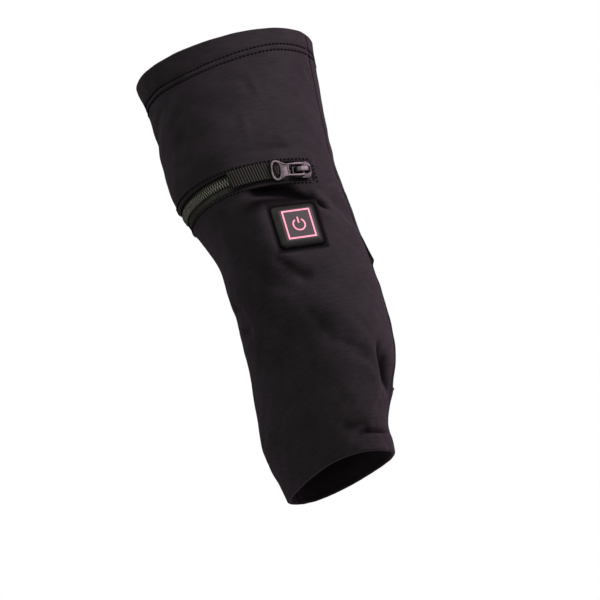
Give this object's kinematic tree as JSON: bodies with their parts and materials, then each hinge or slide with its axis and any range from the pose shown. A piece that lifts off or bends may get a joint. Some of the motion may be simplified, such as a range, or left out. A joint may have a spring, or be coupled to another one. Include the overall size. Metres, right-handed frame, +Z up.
{
  "type": "heated wrist sleeve glove",
  "caption": "Fingerless heated glove sleeve in its worn form: stretch-cloth tube with thumb hole, zipped forearm pocket with metal pull and a soft square push button.",
  "frame": {"origin": "middle of the wrist, inside the sleeve", "axes": "+Z up the forearm to the cuff, -Y out of the back of the wrist, +X to the thumb side"},
  "size_m": [0.0925, 0.076, 0.226],
  "materials": {
    "cloth": "black stretch softshell, faint purple sheen",
    "tape": "woven olive-black zip tape",
    "teeth": "black nylon coil",
    "ribbon": "ribbed black ribbon",
    "gunmetal": "polished gunmetal plating",
    "silicone": "matt black silicone, pink printed line"
  },
  "bodies": {
    "sleeve": {"back_panel": "cloth", "palm_panel": "cloth", "zip_tape_upper": "tape", "zip_tape_lower": "tape", "zip_coil": "teeth", "zip_ribbon": "ribbon", "zip_slider": "gunmetal", "button": "silicone"},
    "pull": {"zip_pull": "gunmetal"}
  },
  "joints": [
    {"name": "pull_flip", "type": "hinge", "parent": "sleeve", "child": "pull", "pos_m": [0.02412, -0.0273, 0.03785], "axis": [0.1428, -0.0917, 0.9855], "range_deg": [0, 165]}
  ]
}
